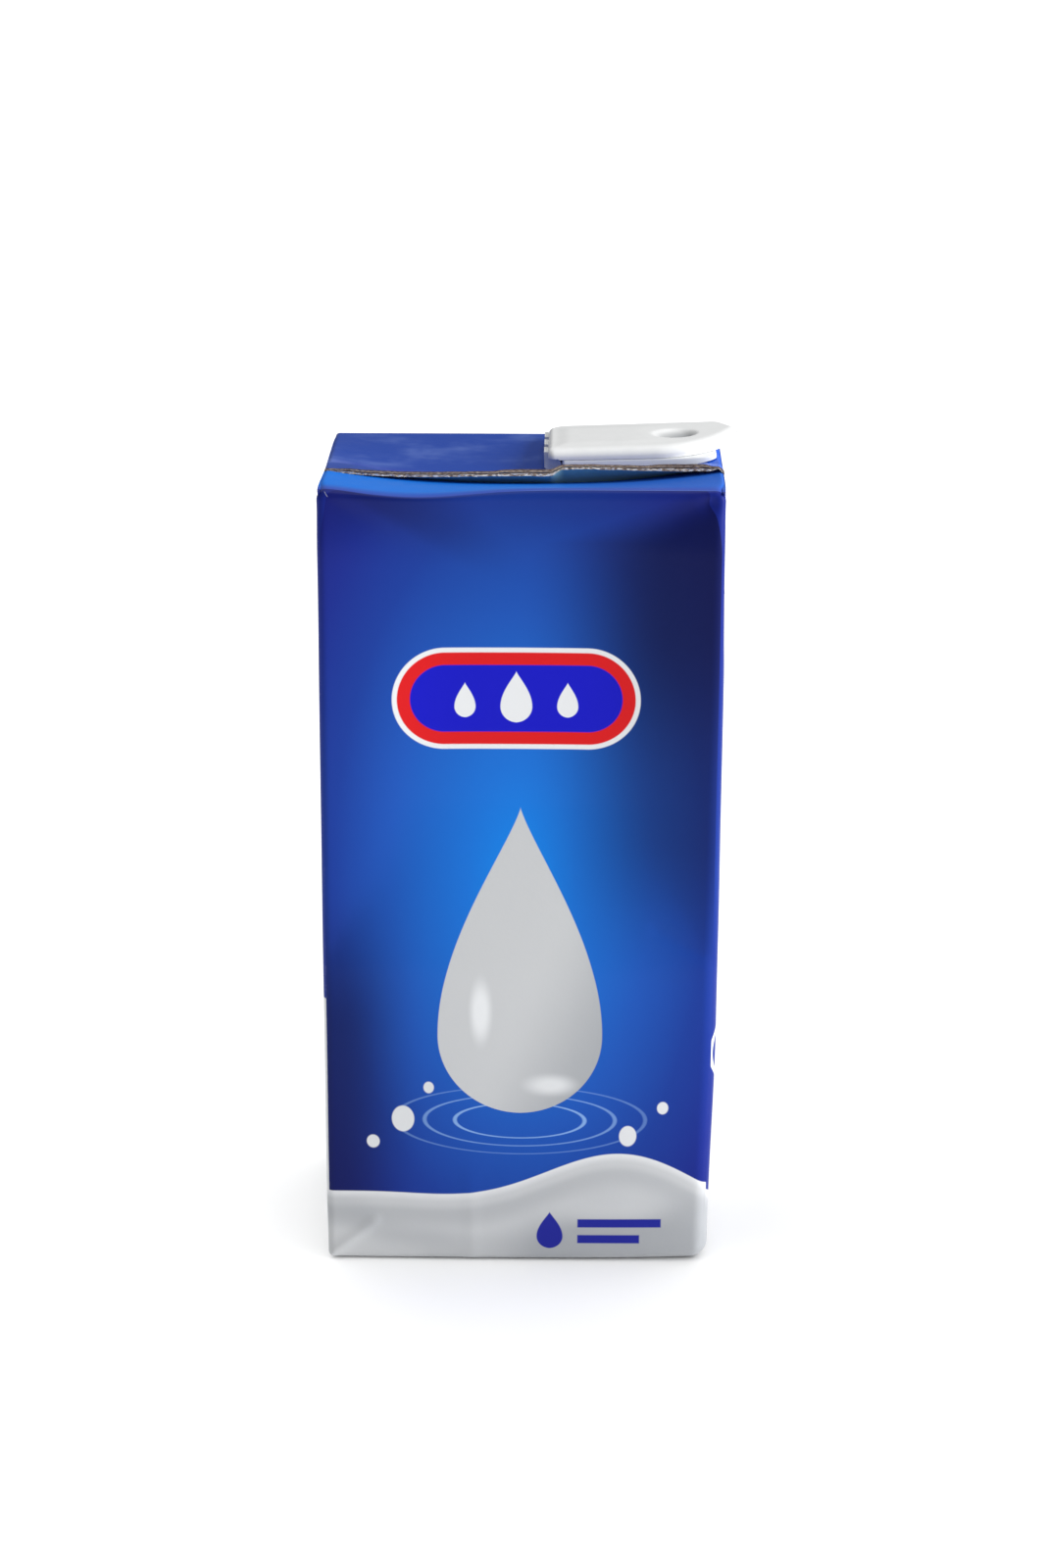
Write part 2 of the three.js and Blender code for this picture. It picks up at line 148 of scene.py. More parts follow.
CAP_CENTRE = Vector((25, 14.5, 185.4))
CAP_RISE_RIGHT = math.radians(1.6)
CAP_RISE_BACK = math.radians(1.7)
CAP_HALF = 11.4
CAP_LEFT = -20.3
CAP_SHOULDER = 5
BASE_LEFT = -16.2
BASE_CORNER = 0.6
BASE_TIP = 18.9
BASE_NOSE = 8.5
BASE_RISE = 0.2
BASE_ROUND = 0.35
BASE_SHOULDER_PULL = 15.5
LID_LEFT = -19.4
LID_FRONT_CORNER = 1.6
LID_BACK_CORNER = 4.5
LID_TIP = 24.1
LID_TIP_Y = (3.0, 4.2)
LID_BACK_SHOULDER = 19.2
LID_UNDERCUT = 20.2
LID_SHOULDER_PULL = 13.5
LID_TIP_PULL = (3.8, 8.5)
LID_TIP_EDGE = 0.2
LID_THICKNESS = 2.8
LID_WEDGE = math.radians(0.5)
LID_ROUND = 1.1
LID_FRONT_ROUND = (3.4, 1.9)
PLATEAU = 0.22
PLATEAU_BORDER = (1.4, 5.0)
PLATEAU_END = (0, 12)
HINGE_RADIUS = 4
HINGE_DROP = 2.3
HINGE_LUG = 4.4
LUG_INSET = 2.4
SCOOP_CENTRE = (9.5, 1.0)
SCOOP_HALF = (5.6, 4.3)
SCOOP_DEPTH = 1.9
FIT_GAP = 0.3
CAP_CROWDING = 1.6


def clamp(value, low=0.0, high=1.0):
    return max(low, min(high, value))


def lerp(a, b, share):
    return a + (b - a) * share


def smooth_step(value, low, high):
    share = clamp((value - low) / (high - low))
    return share * share * (3 - 2 * share)


def within(value, start, full, fade, end):
    """0 outside a span, 1 along its full part."""
    return smooth_step(value, start, full) * (1 - smooth_step(value, fade, end))


def arch(share, power):
    return 1 - min(1, abs(share)) ** power


def soft_least(*shares):
    """The least of several shares, with the folds between them rounded."""
    if min(shares) <= 0:
        return 0.0
    return sum(share ** -6 for share in shares) ** (-1 / 6)


def crowded(value, half, power=GRID_CROWDING):
    return math.copysign(half * (1 - (1 - min(1, abs(value / half))) ** power), value)


def near_line(x, z, start, end, wide):
    """How near a point lies to a crease line, 1 on it and 0 beyond its width."""
    along = Vector(end) - Vector(start)
    spot = Vector((x, z)) - Vector(start)
    share = clamp(spot.dot(along) / along.length_squared)
    ends = smooth_step(share, 0, 0.12) * (1 - smooth_step(share, 0.85, 1))
    away = (spot - along * share).length
    return math.exp(-((away / wide) ** 2)) * ends


# The board of the carton.

def rim_dip(x):
    """Share of the tight, low part of the front rim, left of the middle."""
    return math.exp(-(((x - RIM_DIP_X) / RIM_DIP_WIDE) ** 2))


def edge_radius(x, y, z):
    across = clamp(x / WIDTH + 0.5) ** 5
    front = lerp(FOOT_RADIUS["front_left"], FOOT_RADIUS["front_right"], across)
    back = lerp(FOOT_RADIUS["back_left"], FOOT_RADIUS["back_right"], across)
    foot = lerp(front, back, clamp(y / DEPTH + 0.5))
    front_rim = lerp(RIM_RADIUS, RIM_TIGHT_RADIUS, rim_dip(x))
    start, full = (HALF_DEPTH - reach for reach in RIM_ROUND_REACH)
    rim = lerp(TOP_RADIUS, front_rim, smooth_step(-y, start, full))
    return lerp(foot, rim, clamp(z / HEIGHT) ** 0.8)


def soften(p):
    r = edge_radius(*p)
    inner = Vector((
        clamp(p.x, r - HALF_WIDTH, HALF_WIDTH - r),
        clamp(p.y, r - HALF_DEPTH, HALF_DEPTH - r),
        clamp(p.z, FOOT + r, HEIGHT - r),
    ))
    out = p - inner
    return inner + out * (r / out.length) if out.length > 0 else p


def belly(x, z):
    return arch(x / HALF_WIDTH, 2.4) * math.sin(math.pi * clamp(z / BELLY_TOP) ** 0.8)


def hollow(x, z):
    return soft_least(
        (HALF_WIDTH - abs(x)) / HOLLOW_SIDE,
        (HEIGHT - z) / HOLLOW_TOP,
        (z - HOLLOW_LOW) / HOLLOW_FADE,
        1,
    )


def rim_lean(x, z):
    """The front rim stands back of the panel, except in its low part."""
    return -RIM_BACK * (1 - rim_dip(x)) * smooth_step(z, HEIGHT - RIM_REACH, HEIGHT)


def back_flare(x, z):
    return BACK_FLARE * arch(x / HALF_WIDTH, 2) * smooth_step(z, HEIGHT - BACK_FLARE_REACH, HEIGHT)


def side_push(side, y, z):
    left = LEFT_BULGE * within(z, *LEFT_BULGE_SPAN)
    right = RIGHT_BULGE * within(z, *RIGHT_BULGE_SPAN)
    press = EAR_PRESS[side] * within(z, *EAR_PRESS_SPAN)
    pull = TOP_PULL * smooth_step(z, TOP_PULL_LOW, HEIGHT) * smooth_step(y, -HALF_DEPTH, TOP_PULL_BACK)
    inward = pull if side < 0 else FOOT_TUCK * (1 - smooth_step(z, 0, FOOT_TUCK_TOP))
    return arch(y / HALF_DEPTH, 2.2) * ((left if side < 0 else right) - press) - inward


def top_sink(x, y):
    rim = HALF_DEPTH - RIM_FLAT if y < 0 else HALF_DEPTH
    return TOP_SINK * arch(x / HALF_WIDTH, 2.5) * arch(y / rim, 1)


def rim_sag(x, y, z):
    near_front = smooth_step(-y, HALF_DEPTH - RIM_SAG_REACH[0], HALF_DEPTH)
    near_top = smooth_step(z, HEIGHT - RIM_SAG_REACH[1], HEIGHT)
    return RIM_SAG * rim_dip(x) * near_front * near_top


def front_marks(x, z):
    """Creases and small dents of the front panel, out of the panel above zero."""
    creases = sum(out * near_line(x, z, *line) for out, *line in CREASES)
    away = Vector((x, z)) - Vector(PINCH_PLACE)
    return creases + PINCH * math.exp(-away.length_squared / PINCH_WIDE ** 2)


def panel_waves(p):
    edge = arch(p.z / HEIGHT * 2 - 1, 6)
    return WAVINESS * edge * (noise.noise(p / WAVE_SPAN) - 0.6)


def swell(p):
    x, y, z = p
    waves = panel_waves(p)
    front = BELLY * belly(x, z) - HOLLOW * hollow(x, z) + rim_lean(x, z) + front_marks(x, z)
    back = BELLY * belly(x, z) - HOLLOW * hollow(x, z) + back_flare(x, z)
    near_top = smooth_step(z, HEIGHT - TOP_SINK_REACH, HEIGHT)
    side = math.copysign(1, x)
    return Vector((
        x + (x / HALF_WIDTH) * side_push(side, y, z) + waves * (x / HALF_WIDTH) ** 3 * 0.5,
        y + (y / HALF_DEPTH) * ((front if y < 0 else back) + waves * arch(x / HALF_WIDTH, 4)),
        z - near_top * top_sink(x, y) - rim_sag(x, y, z),
    ))


# Bmesh helpers: every piece starts as a cube cut into a grid.

def block(cuts):
    """A unit cube about the origin, cut into a grid along each axis."""
    bm = bmesh.new()
    bmesh.ops.create_cube(bm, size=1.0)
    for axis, count in enumerate(cuts):
        along = [e for e in bm.edges if abs(e.verts[0].co[axis] - e.verts[1].co[axis]) > 0.5]
        if count > 1:
            bmesh.ops.subdivide_edges(bm, edges=along, cuts=count - 1, use_grid_fill=True)
    return bm


def shape(bm, where):
    for vert in bm.verts:
        vert.co = (where(vert.co) - OUTLINE_CENTRE) * MM


def join(bm, other):
    """Adds another piece's faces to this one."""
    mesh = bpy.data.meshes.new("joined")
    other.to_mesh(mesh)
    other.free()
    bm.from_mesh(mesh)
    bpy.data.meshes.remove(mesh)


def make(name, bm, node, materials, crease=40):
    bmesh.ops.remove_doubles(bm, verts=bm.verts, dist=0.002 * MM)
    bmesh.ops.recalc_face_normals(bm, faces=bm.faces)
    mesh = bpy.data.meshes.new(name)
    bm.to_mesh(mesh)
    bm.free()
    mesh.shade_smooth()
    mesh.set_sharp_from_angle(angle=math.radians(crease))
    for material in materials:
        mesh.materials.append(material)
    piece = bpy.data.objects.new(name, mesh)
    bpy.context.scene.collection.objects.link(piece)
    carton_only.objects.link(piece)
    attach(piece, "root")
    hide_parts(node)
    return piece


# Shader helpers.

def ink(red, green, blue):
    """A printed colour, from its screen values."""
    def light(value):
        share = value / 255
        return share / 12.92 if share <= 0.04045 else ((share + 0.055) / 1.055) ** 2.4
    return (light(red), light(green), light(blue), 1.0)


class Wires:
    """Adds nodes to one shader tree and joins them."""

    def __init__(self, tree):
        self.tree = tree

    def add(self, kind, **settings):
        node = self.tree.nodes.new(kind)
        for name, value in settings.items():
            setattr(node, name, value)
        return node

    def feed(self, socket, value):
        if isinstance(value, bpy.types.NodeSocket):
            self.tree.links.new(value, socket)
        else:
            socket.default_value = value

    def maths(self, operation, *values):
        node = self.add("ShaderNodeMath", operation=operation)
        for socket, value in zip(node.inputs, values):
            self.feed(socket, value)
        return node.outputs[0]

    def plus(self, a, b):
        return self.maths("ADD", a, b)

    def minus(self, a, b):
        return self.maths("SUBTRACT", a, b)

    def times(self, a, b):
        return self.maths("MULTIPLY", a, b)

    def most(self, a, b):
        return self.maths("MAXIMUM", a, b)

    def least(self, a, b):
        return self.maths("MINIMUM", a, b)

    def size(self, a):
        return self.maths("ABSOLUTE", a)

    def length(self, a, b):
        return self.maths("SQRT", self.plus(self.times(a, a), self.times(b, b)))

    def band(self, value, low, high):
        """0 at low and 1 at high, smooth between."""
        node = self.add("ShaderNodeMapRange", interpolation_type="SMOOTHSTEP")
        self.feed(node.inputs["Value"], value)
        node.inputs["From Min"].default_value = low
        node.inputs["From Max"].default_value = high
        return node.outputs["Result"]

    def inside(self, distance, soft=0.16):
        return self.band(distance, soft, -soft)

    def choose(self, mask, otherwise, chosen):
        node = self.add("ShaderNodeMix", data_type="FLOAT")
        self.feed(node.inputs[0], mask)
        self.feed(node.inputs[2], otherwise)
        self.feed(node.inputs[3], chosen)
        return node.outputs[0]

    def paint(self, mask, under, colour):
        node = self.add("ShaderNodeMix", data_type="RGBA")
        self.feed(node.inputs[0], mask)
        self.feed(node.inputs[6], under)
        self.feed(node.inputs[7], colour)
        return node.outputs[2]

    def ramp(self, value, stops):
        node = self.add("ShaderNodeValToRGB")
        self.feed(node.inputs[0], value)
        elements = node.color_ramp.elements
        while len(elements) < len(stops):
            elements.new(0.5)
        for element, (place, colour) in zip(elements, stops):
            element.position = place
            element.color = colour
        return node.outputs[0]

    def speckle(self, place, scale, detail=2.0, roughness=0.5):
        node = self.add("ShaderNodeTexNoise")
        self.feed(node.inputs["Vector"], place)
        node.inputs["Scale"].default_value = scale
        node.inputs["Detail"].default_value = detail
        node.inputs["Roughness"].default_value = roughness
        return node.outputs["Fac"]

    def stretched(self, place, scale):
        node = self.add("ShaderNodeVectorMath", operation="MULTIPLY")
        self.feed(node.inputs[0], place)
        node.inputs[1].default_value = scale
        return node.outputs[0]

    def split(self, place):
        node = self.add("ShaderNodeSeparateXYZ")
        self.feed(node.inputs[0], place)
        return node.outputs[0], node.outputs[1], node.outputs[2]


def new_group(name, inputs, outputs):
    tree = bpy.data.node_groups.new(name, "ShaderNodeTree")
    for label, kind in inputs:
        tree.interface.new_socket(name=label, in_out="INPUT", socket_type=kind)
    for label, kind in outputs:
        tree.interface.new_socket(name=label, in_out="OUTPUT", socket_type=kind)
    wires = Wires(tree)
    return wires, wires.add("NodeGroupInput"), wires.add("NodeGroupOutput")


def drop_mask(wires, across, up, foot, tip, radius):
    """A drop: a round bulb below and a drawn-out tip above."""
    centre = foot + radius
    low = wires.least(wires.minus(up, centre), 0.0)
    round_part = wires.maths("SQRT", wires.most(
        wires.minus(radius * radius, wires.times(low, low)), 0.0))
    rise = wires.maths("MULTIPLY", wires.minus(up, centre), 1 / (tip - centre))
    rise = wires.least(wires.most(rise, 0.0), 1.0)
    taper = wires.times(
        wires.maths("POWER", wires.minus(1.0, rise), 1.3),
        wires.plus(1.0, wires.times(rise, 1.3)))
    half = wires.times(round_part, taper)
    return wires.band(wires.minus(wires.size(across), half), 0.0, -0.3)


def dot_mask(wires, across, up, centre, radius, tall=1.0):
    away = wires.length(
        wires.minus(across, centre[0]),
        wires.times(wires.minus(up, centre[1]), 1 / tall))
    return wires.inside(wires.minus(away, radius))


BLUE_STOPS = (
    (0.00, ink(20, 137, 238)),
    (0.20, ink(27, 116, 216)),
    (0.48, ink(30, 86, 183)),
    (0.68, ink(25, 60, 152)),
    (0.85, ink(25, 43, 137)),
    (1.00, ink(25, 31, 120)),
)
# The dark navy of the painted shade on the blue panels.
BLUE_PAINTED_SHADE = ink(9, 15, 62)
MILK = ink(204, 206, 208)
MILK_SHADE = ink(172, 175, 179)
MILK_LIGHT = ink(226, 228, 230)
TOP_FRONT = ink(26, 124, 234)
TOP_EDGE = ink(38, 102, 226)
# Painted highlight along the fold of the top.
TOP_FOLD_HIGHLIGHT = ink(82, 84, 178)
TOP_RIM = ink(56, 86, 190)
# Painted reflection in soft clouds on the top behind the fin.
TOP_PAINTED_REFLECTION = ink(112, 138, 208)
TOP_BACK = ink(38, 74, 168)
FIN_FACE = ink(160, 202, 170)
RED = ink(222, 30, 34)
ROYAL_BLUE = ink(22, 24, 196)
WHITE = ink(236, 238, 240)
DEEP_BLUE = ink(34, 40, 150)
RIPPLE_BLUE = ink(150, 190, 240)
# Light line on the rim's crease: whitened board and a painted highlight.
CREASE_WHITENING_AND_HIGHLIGHT = ink(150, 180, 236)
RUBBED_GREY = ink(188, 190, 200)
FIBRE_STOPS = (
    (0.30, ink(92, 74, 66)),
    (0.46, ink(136, 116, 100)),
    (0.60, ink(176, 158, 138)),
    (0.78, ink(212, 200, 184)),
)
FIBRE_DARK = ink(74, 50, 48)
FIBRE_FLECK = ink(232, 232, 230)
PLASTIC_SMUDGE = ink(232, 234, 234)
# Painted shade in the lid's thumb scoop.
PLASTIC_SCOOP_SHADE = ink(158, 161, 164)


# The printed picture, and the painted shade over its blue: where they stand on the panels.
GLOW_Z = 95
GLOW_REACH = (62, 128)
SIDE_GLOW = 0.72
# Strength of the painted shade on the front and back: upper right (low, high), lower left, wedge under the
# rim, along the top.
PAINTED_SHADE_UPPER = (0.52, 0.8)
PAINTED_SHADE_LOWER = 0.64
PAINTED_SHADE_WEDGE = 0.42
PAINTED_SHADE_RIM = 0.22
RIPPLE_Z = 37
RIPPLE_FLATNESS = 3.4
RIPPLE_LINE = 0.45
RIPPLES = ((15, 0.75), (22, 0.5), (29, 0.3))
DROP_FOOT = 39
DROP_TIP = 112
DROP_RADIUS = 19
MILK_LEVEL = 21
MILK_WAVES = ((5.5, 100, 8), (2.6, 60, -12))
LOOSE_DROPS = (
    ((-27, 37), 2.6, 1.25),
    ((-34, 31), 1.5, 1.1),
    ((25, 33), 2.0, 1.3),
    ((33, 40), 1.3, 1.2),
    ((-21, 45), 1.2, 1.2),
)
PALE_SIDE_TOP = 66
PLAQUE_X = -1.0
PLAQUE_Z = 137
PLAQUE_HALF = 16.0
PLAQUE_RADIUS = 11.8
PLAQUE_LINE = 1.1
PLAQUE_BORDER = 4.0
PLAQUE_DROPS = ((0, 131.4, 143.6, 3.7), (-11.5, 132.6, 141, 2.5), (11.5, 132.6, 141, 2.5))
MARK_X = 7
MARK_DROP = (3.6, 13.6, 3.2)
MARK_BARS = ((9.2, 11.4, 13.5, 33), (5.0, 7.2, 13.5, 28))
BADGE_Y = -21.5
BADGE_Z = 53
BADGE_RADIUS = 7.6
BADGE_LINE = 0.55
BADGE_DROP = (48.6, 58.4, 3.2)
NICK_PLACE = (-42.4, 183.8)
NICK_SLOPE = 0.75
NICK_HIGH = 184.8


def print_place(wires, place):
    """Where a point lies: on which panel, how far across it and how far round the carton."""
    x, y, z = wires.split(wires.stretched(place, (1 / MM, 1 / MM, 1 / MM)))
    past_side = wires.minus(wires.size(x), HALF_WIDTH)
    past_front = wires.minus(wires.size(y), HALF_DEPTH)
    past_top = wires.minus(z, HEIGHT)
    on_side = wires.band(wires.minus(past_side, past_front), -0.1, 0.1)
    is_right = wires.maths("GREATER_THAN", x, 0.0)
    is_back = wires.maths("GREATER_THAN", y, 0.0)
    across = wires.times(x, wires.minus(1.0, wires.times(is_back, 2.0)))
    right_round = wires.plus(y, HALF_WIDTH + HALF_DEPTH)
    left_round = wires.minus(-HALF_WIDTH - HALF_DEPTH, y)
    side_round = wires.choose(is_right, left_round, right_round)
    face_round = wires.choose(is_back, x, wires.minus(WIDTH + DEPTH, x))
    return SimpleNamespace(
        place=place, x=x, y=y, z=z, past_side=past_side, past_front=past_front, past_top=past_top,
        on_side=on_side, on_face=wires.minus(1.0, on_side), is_right=is_right, is_back=is_back,
        across=across, around=wires.choose(on_side, face_round, side_round))


def rim_fold(wires, at):
    """How far a point lies behind the fold of the front rim, and how far it is on the top."""
    dip = wires.times(wires.minus(at.x, RIM_DIP_X), 1 / RIM_DIP_WIDE)
    dip = wires.maths("EXPONENT", wires.times(wires.times(dip, dip), -1.0))
    full_step = RIM_BACK + RIM_RADIUS - 0.2
    step = wires.minus(full_step, wires.times(dip, full_step - RIM_TIGHT_RADIUS + RIM_SAG))
    step = wires.plus(step, wires.times(wires.band(at.x, -32, -44), 1.5))
    step = wires.choose(at.is_back, step, 0.0)
    over_rim = wires.minus(wires.minus(at.past_top, at.past_front), step)
    over_side = wires.plus(wires.minus(at.past_top, at.past_side), 0.3)
    soft = wires.plus(0.22, wires.times(dip, 0.5))
    on_top = wires.band(wires.maths("DIVIDE", wires.least(over_rim, over_side), soft), -1.0, 1.0)
    return over_rim, on_top


def blue_field(wires, at):
    """The blue print of the panels, brightest behind the drop, with painted shade towards three corners and
    along the top of the front and back panels.
    """
    from_glow = wires.minus(at.z, GLOW_Z)
    glow = wires.length(
        wires.times(at.across, 1 / GLOW_REACH[0]), wires.times(from_glow, 1 / GLOW_REACH[1]))
    side_glow = wires.plus(SIDE_GLOW, wires.times(wires.size(from_glow), 0.002))
    colour = wires.ramp(wires.choose(at.on_side, glow, side_glow), BLUE_STOPS)
    # Painted shade: darker to the upper right, to the lower left, in a wedge under the left of the rim and
    # along the top.
    corner = wires.most(wires.minus(HALF_WIDTH, wires.times(wires.minus(HEIGHT, at.z), 2.2)), 19.0)
    upper = wires.times(
        wires.band(wires.minus(at.across, corner), -20, 14), wires.band(at.z, 66, 106))
    upper = wires.times(upper, wires.choose(wires.band(at.z, 112, 155), *PAINTED_SHADE_UPPER))
    lower = wires.times(wires.band(at.across, -22, -42), wires.band(at.z, 96, 58))
    lower = wires.times(lower, PAINTED_SHADE_LOWER)
    wedge = wires.plus(at.past_top, wires.times(wires.plus(at.across, HALF_WIDTH), 0.62))
    low_edge = wires.band(wires.plus(at.z, wires.times(at.across, 0.3)), 161, 174)
    wedge = wires.times(wires.band(wedge, -1, 6), low_edge)
    wedge = wires.times(wires.times(wedge, wires.band(at.across, 6, -26)), PAINTED_SHADE_WEDGE)
    rim = wires.times(wires.band(at.z, 166, 186), PAINTED_SHADE_RIM)
    painted_shade = wires.most(wires.most(upper, lower), wires.most(wedge, rim))
    return wires.paint(wires.times(painted_shade, at.on_face), colour, BLUE_PAINTED_SHADE)


def milk_drop(wires, at, colour):
    """The large drop with its shading, over ripples."""
    ring = wires.length(at.across, wires.times(wires.minus(at.z, RIPPLE_Z), RIPPLE_FLATNESS))
    for radius, strength in RIPPLES:
        line = wires.minus(wires.size(wires.minus(ring, radius)), RIPPLE_LINE)
        line = wires.times(wires.inside(line, 0.25), at.on_face)
        colour = wires.paint(wires.times(line, strength), colour, RIPPLE_BLUE)
    drop = drop_mask(wires, at.across, at.z, DROP_FOOT, DROP_TIP, DROP_RADIUS)
    lean = wires.plus(wires.times(at.across, 0.045), wires.times(wires.minus(58, at.z), 0.02))
    body = wires.paint(wires.band(lean, -0.2, 1.0), MILK, MILK_SHADE)
    shine = wires.length(
        wires.times(wires.plus(at.across, 9), 1 / 3.2), wires.times(wires.minus(at.z, 64), 1 / 10))
    body = wires.paint(wires.band(shine, 1.0, 0.3), body, WHITE)
    under = wires.length(
        wires.times(wires.minus(at.across, 7), 1 / 8), wires.times(wires.minus(at.z, 46), 1 / 3.5))
    body = wires.paint(wires.band(under, 1.0, 0.2), body, MILK_LIGHT)
    return wires.paint(wires.times(drop, at.on_face), colour, body)


def foot_milk(wires, at, colour):
    """The milk round the foot, with loose drops above it and a plain field on the left side."""
    level = MILK_LEVEL
    for height, span, shift in MILK_WAVES:
        turn = wires.times(wires.plus(at.around, shift), 2 * math.pi / span)
        level = wires.plus(wires.times(wires.maths("SINE", turn), height), level)
    below = wires.minus(level, at.z)
    milk = wires.inside(wires.times(below, -1.0))
    for centre, radius, tall in LOOSE_DROPS:
        dot = dot_mask(wires, at.across, at.z, centre, radius, tall)
        milk = wires.most(milk, wires.times(dot, at.on_face))
    sheen = wires.speckle(wires.stretched(at.place, (22, 22, 60)), 1.0, 1.0)
    pool = wires.paint(wires.band(sheen, 0.42, 0.66), MILK, MILK_SHADE)
    fold = wires.times(wires.band(below, 2.5, 5.0), wires.band(below, 11.0, 5.5))
    pool = wires.paint(wires.times(fold, 0.55), pool, MILK_SHADE)
    pool = wires.paint(wires.band(below, 2.4, 0.2), pool, MILK_LIGHT)
    pale_side = wires.times(at.on_side, wires.minus(1.0, at.is_right))
    low = wires.band(at.z, PALE_SIDE_TOP + 0.2, PALE_SIDE_TOP - 0.2)
    return wires.paint(wires.most(milk, wires.times(pale_side, low)), colour, pool)


def plaque(wires, at, colour):
    """The plain plaque with three drops."""
    sideways = wires.minus(at.across, PLAQUE_X)
    ends = wires.most(wires.minus(wires.size(sideways), PLAQUE_HALF), 0.0)
    edge = wires.minus(wires.length(ends, wires.minus(at.z, PLAQUE_Z)), PLAQUE_RADIUS)
    for inset, shade in ((0.0, WHITE), (PLAQUE_LINE, RED), (PLAQUE_BORDER, ROYAL_BLUE)):
        field = wires.inside(wires.plus(edge, inset))
        colour = wires.paint(wires.times(field, at.on_face), colour, shade)
    for centre, *drop in PLAQUE_DROPS:
        drops = drop_mask(wires, wires.minus(sideways, centre), at.z, *drop)
        colour = wires.paint(wires.times(drops, at.on_face), colour, WHITE)
    return colour


def small_marks(wires, at, colour):
    """A drop with two bars at the foot of the front, and a ring with a drop on the right side."""
    mark = drop_mask(wires, wires.minus(at.x, MARK_X), at.z, *MARK_DROP)
    for low, high, left, right in MARK_BARS:
        bar = wires.most(
            wires.minus(wires.size(wires.minus(at.x, (left + right) / 2)), (right - left) / 2),
            wires.minus(wires.size(wires.minus(at.z, (low + high) / 2)), (high - low) / 2))
        mark = wires.most(mark, wires.inside(bar))
    on_front = wires.times(at.on_face, wires.minus(1.0, at.is_back))
    colour = wires.paint(wires.times(mark, on_front), colour, DEEP_BLUE)
    sideways = wires.minus(at.y, BADGE_Y)
    away = wires.length(sideways, wires.minus(at.z, BADGE_Z))
    ring = wires.inside(wires.minus(wires.size(wires.minus(away, BADGE_RADIUS)), BADGE_LINE))
    ring = wires.most(ring, drop_mask(wires, sideways, at.z, *BADGE_DROP))
    return wires.paint(wires.times(ring, wires.times(at.on_side, at.is_right)), colour, WHITE)


def top_field(wires, at, over_rim, fold_shift):
    """The top: bright before the fin and deeper behind it, with a painted highlight along the left of the
    fold and a painted reflection in soft clouds.
    """
    shifted = wires.plus(at.y, fold_shift)
    front = wires.paint(wires.band(over_rim, 5.5, 0.2), TOP_FRONT, TOP_RIM)
    front = wires.paint(wires.times(wires.band(at.x, -4, 26), 0.5), front, TOP_RIM)
    back = wires.paint(wires.band(at.x, 39.5, 42.5), TOP_BACK, TOP_EDGE)
    # Painted highlight just behind the fold, left of the middle.
    fold_highlight = wires.times(wires.band(shifted, 6.0, 0.5), wires.band(at.x, 6.0, -6.0))
    back = wires.paint(wires.times(fold_highlight, 0.5), back, TOP_FOLD_HIGHLIGHT)
    # Painted reflection in soft clouds behind the fin.
    reflection_cloud = wires.speckle(wires.stretched(at.place, (55, 90, 55)), 1.0, 3.0, 0.6)
    back = wires.paint(wires.times(wires.band(reflection_cloud, 0.46, 0.78), 0.5), back, TOP_PAINTED_REFLECTION)
    return wires.paint(wires.band(shifted, -0.5, 0.5), front, back)


def rim_nick_and_crease_highlight(wires, at, over_rim, colour):
    """A nick at the left end of the front rim, and a light line along the crease of its right half:
    whitened board and a painted highlight of the fold.
    """
    x, z = NICK_PLACE
    along = wires.minus(at.z, z)
    nick = wires.plus(wires.minus(at.x, x), wires.times(along, NICK_SLOPE))
    nick = wires.inside(wires.minus(wires.size(nick), 0.05), 0.1)
    ends = wires.times(wires.band(along, -0.2, 0.1), wires.band(at.z, NICK_HIGH, NICK_HIGH - 0.3))
    nick = wires.times(wires.times(nick, ends), wires.band(at.y, -24.0, -25.0))
    colour = wires.paint(wires.times(nick, 0.7), colour, WHITE)
    # Light line on the right half of the crease: whitened board and a painted highlight.
    rubbed = wires.inside(wires.minus(wires.size(wires.minus(over_rim, 0.1)), 0.12), 0.2)
    rubbed = wires.times(rubbed, wires.times(wires.band(at.x, -6, 6), wires.band(at.past_side, -0.5, -4)))
    return wires.paint(wires.times(rubbed, 0.45), colour, CREASE_WHITENING_AND_HIGHLIGHT)


def print_group():
    """The printed picture of the carton, by place on the carton, with painted shade on the blue panels and
    painted highlights and reflection on the top and rim.
    """
    wires, source, result = new_group(
        "carton_print_and_painted_light",
        (("Place", "NodeSocketVector"), ("Fold Shift", "NodeSocketFloat"), ("Fin Face", "NodeSocketFloat")),
        (("Colour", "NodeSocketColor"),))
    at = print_place(wires, source.outputs["Place"])
    over_rim, on_top = rim_fold(wires, at)
    colour = blue_field(wires, at)
    for motif in (milk_drop, foot_milk, plaque, small_marks):
        colour = motif(wires, at, colour)
    colour = wires.paint(on_top, colour, top_field(wires, at, over_rim, source.outputs["Fold Shift"]))
    colour = rim_nick_and_crease_highlight(wires, at, over_rim, colour)
    wires.feed(result.inputs["Colour"], wires.paint(source.outputs["Fin Face"], colour, FIN_FACE))
    return wires.tree


